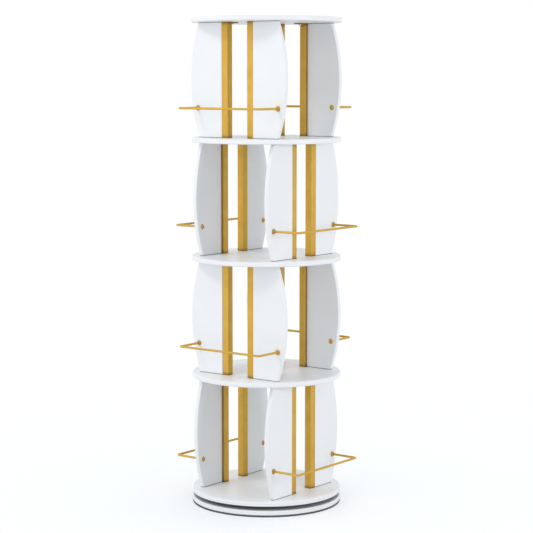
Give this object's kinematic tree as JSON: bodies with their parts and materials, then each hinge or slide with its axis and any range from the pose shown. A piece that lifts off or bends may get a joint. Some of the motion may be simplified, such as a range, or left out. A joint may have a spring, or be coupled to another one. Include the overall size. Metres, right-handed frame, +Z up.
{
  "type": "revolving bookshelf",
  "caption": "Floor-standing revolving bookshelf: a tower of round white boards with gold posts, barrel-sided panels and wire rails that turns on a fixed round base.",
  "frame": {"origin": "on the floor, on the axis that the tower turns about", "axes": "+Z up along that axis; the lowest tier's rails face +X and -X, the next tier's -Y and +Y"},
  "size_m": [0.414, 0.414, 1.3],
  "materials": {
    "white_board": "white satin lacquer on fibreboard, rounded edges",
    "gold_coat": "gold powder coat with a fine grain on steel tube, strip and wire",
    "screw_steel": "bright zinc plate",
    "ring_aluminium": "turned",
    "ball_steel": "polished",
    "cage_nylon": "moulded",
    "pad_rubber": "moulded",
    "dowel_beech": "turned beech"
  },
  "bodies": {
    "base": {"foot_pads": "pad_rubber", "base_disc": "white_board", "turntable_outer_ring": "ring_aluminium", "turntable_base_screws": "screw_steel"},
    "ball_set": {"turntable_balls": "ball_steel", "turntable_cage": "cage_nylon"},
    "tower": {"bottom_disc": "white_board", "panel_dowels": "dowel_beech", "panel_screws": "screw_steel", "post_bolts": "screw_steel", "post_inserts": "screw_steel", "post_tabs": "gold_coat", "rail_screws": "gold_coat", "shelf_disc_1": "white_board", "shelf_disc_2": "white_board", "shelf_disc_3": "white_board", "tab_screws": "screw_steel", "tier1_left_panel_a": "white_board", "tier1_left_panel_b": "white_board", "tier1_left_post_a": "gold_coat", "tier1_left_post_b": "gold_coat", "tier1_left_rail": "gold_coat", "tier1_right_panel_a": "white_board", "tier1_right_panel_b": "white_board", "tier1_right_post_a": "gold_coat", "tier1_right_post_b": "gold_coat", "tier1_right_rail": "gold_coat", "tier2_back_panel_a": "white_board", "tier2_back_panel_b": "white_board", "tier2_back_post_a": "gold_coat", "tier2_back_post_b": "gold_coat", "tier2_back_rail": "gold_coat", "tier2_front_panel_a": "white_board", "tier2_front_panel_b": "white_board", "tier2_front_post_a": "gold_coat", "tier2_front_post_b": "gold_coat", "tier2_front_rail": "gold_coat", "tier3_left_panel_a": "white_board", "tier3_left_panel_b": "white_board", "tier3_left_post_a": "gold_coat", "tier3_left_post_b": "gold_coat", "tier3_left_rail": "gold_coat", "tier3_right_panel_a": "white_board", "tier3_right_panel_b": "white_board", "tier3_right_post_a": "gold_coat", "tier3_right_post_b": "gold_coat", "tier3_right_rail": "gold_coat", "tier4_back_panel_a": "white_board", "tier4_back_panel_b": "white_board", "tier4_back_post_a": "gold_coat", "tier4_back_post_b": "gold_coat", "tier4_back_rail": "gold_coat", "tier4_front_panel_a": "white_board", "tier4_front_panel_b": "white_board", "tier4_front_post_a": "gold_coat", "tier4_front_post_b": "gold_coat", "tier4_front_rail": "gold_coat", "top_disc": "white_board", "turntable_inner_ring": "ring_aluminium", "turntable_tower_screws": "screw_steel"}
  },
  "joints": [
    {"name": "tower_turn", "type": "hinge", "parent": "base", "child": "tower", "pos_m": [0, 0, 0.022], "axis": [0, 0, 1], "continuous": true},
    {"name": "ball_orbit", "type": "hinge", "parent": "base", "child": "ball_set", "pos_m": [0, 0, 0.022], "axis": [0, 0, 1], "continuous": true}
  ],
  "couplings": [
    {"joint": "ball_orbit", "follows": "tower_turn", "ratio": 0.4912}
  ]
}
